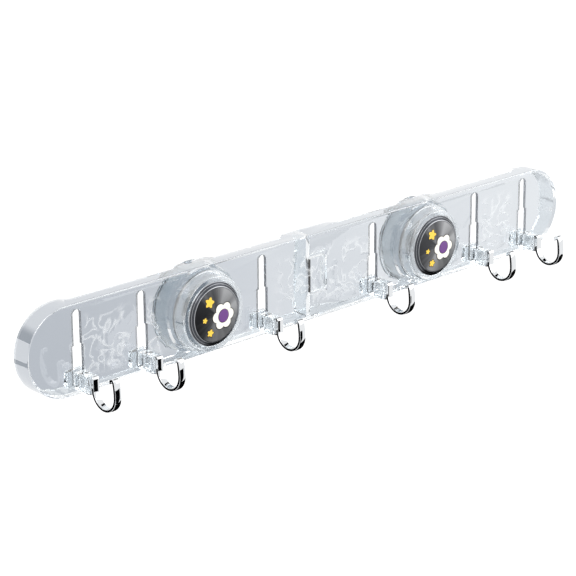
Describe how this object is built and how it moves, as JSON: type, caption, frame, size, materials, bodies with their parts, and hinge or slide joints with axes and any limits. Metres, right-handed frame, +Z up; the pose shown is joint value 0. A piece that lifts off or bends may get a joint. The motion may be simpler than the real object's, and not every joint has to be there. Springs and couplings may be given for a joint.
{
  "type": "suction cup hook rail",
  "caption": "Clear plastic hook bar held to a wall by two screw-down suction cups, with chrome hooks that slide in vertical slots.",
  "frame": {"origin": "on the wall plane, midway between the two suction cups, at the bar's mid height", "axes": "+X along the bar to the right, +Y into the wall, +Z up"},
  "size_m": [0.456, 0.0503, 0.0596],
  "materials": {
    "clear_plastic": "gloss",
    "cup_plastic": "gloss",
    "stud_plastic": "gloss",
    "metallised_cap": "gloss",
    "chrome": "polished"
  },
  "bodies": {
    "rail": {"rail_left": "clear_plastic", "rail_right": "clear_plastic", "suction_cup_left": "cup_plastic", "suction_cup_right": "cup_plastic"},
    "knob_left": {"knob_left": "clear_plastic", "knob_cap_left": "metallised_cap"},
    "stud_left": {"cup_stud_left": "stud_plastic"},
    "knob_right": {"knob_right": "clear_plastic", "knob_cap_right": "metallised_cap"},
    "stud_right": {"cup_stud_right": "stud_plastic"},
    "carrier_1": {"hook_holder_1": "clear_plastic", "hook_1": "chrome"},
    "carrier_2": {"hook_holder_2": "clear_plastic", "hook_2": "chrome"},
    "carrier_3": {"hook_holder_3": "clear_plastic", "hook_3": "chrome"},
    "carrier_4": {"hook_holder_4": "clear_plastic", "hook_4": "chrome"},
    "carrier_5": {"hook_holder_5": "clear_plastic", "hook_5": "chrome"},
    "carrier_6": {"hook_holder_6": "clear_plastic", "hook_6": "chrome"}
  },
  "joints": [
    {"name": "knob_left_turn", "type": "hinge", "parent": "rail", "child": "knob_left", "pos_m": [-0.096, -0.0145, 0], "axis": [0, 1, 0], "range_deg": [0, 270]},
    {"name": "stud_left_pull", "type": "slide", "parent": "rail", "child": "stud_left", "axis": [0, -1, 0], "range_m": [0, 0.003], "deforming": ["suction_cup_left"]},
    {"name": "knob_right_turn", "type": "hinge", "parent": "rail", "child": "knob_right", "pos_m": [0.096, -0.0145, 0], "axis": [0, 1, 0], "range_deg": [0, 270]},
    {"name": "stud_right_pull", "type": "slide", "parent": "rail", "child": "stud_right", "axis": [0, -1, 0], "range_m": [0, 0.003], "deforming": ["suction_cup_right"]},
    {"name": "carrier_1_lift", "type": "slide", "parent": "rail", "child": "carrier_1", "axis": [0, 0, 1], "range_m": [0, 0.038]},
    {"name": "carrier_2_lift", "type": "slide", "parent": "rail", "child": "carrier_2", "axis": [0, 0, 1], "range_m": [0, 0.038]},
    {"name": "carrier_3_lift", "type": "slide", "parent": "rail", "child": "carrier_3", "axis": [0, 0, 1], "range_m": [0, 0.038]},
    {"name": "carrier_4_lift", "type": "slide", "parent": "rail", "child": "carrier_4", "axis": [0, 0, 1], "range_m": [0, 0.038]},
    {"name": "carrier_5_lift", "type": "slide", "parent": "rail", "child": "carrier_5", "axis": [0, 0, 1], "range_m": [0, 0.038]},
    {"name": "carrier_6_lift", "type": "slide", "parent": "rail", "child": "carrier_6", "axis": [0, 0, 1], "range_m": [0, 0.038]}
  ],
  "couplings": [
    {"joint": "stud_left_pull", "follows": "knob_left_turn", "m_per_rad": 0.00063662},
    {"joint": "stud_right_pull", "follows": "knob_right_turn", "m_per_rad": 0.00063662}
  ]
}
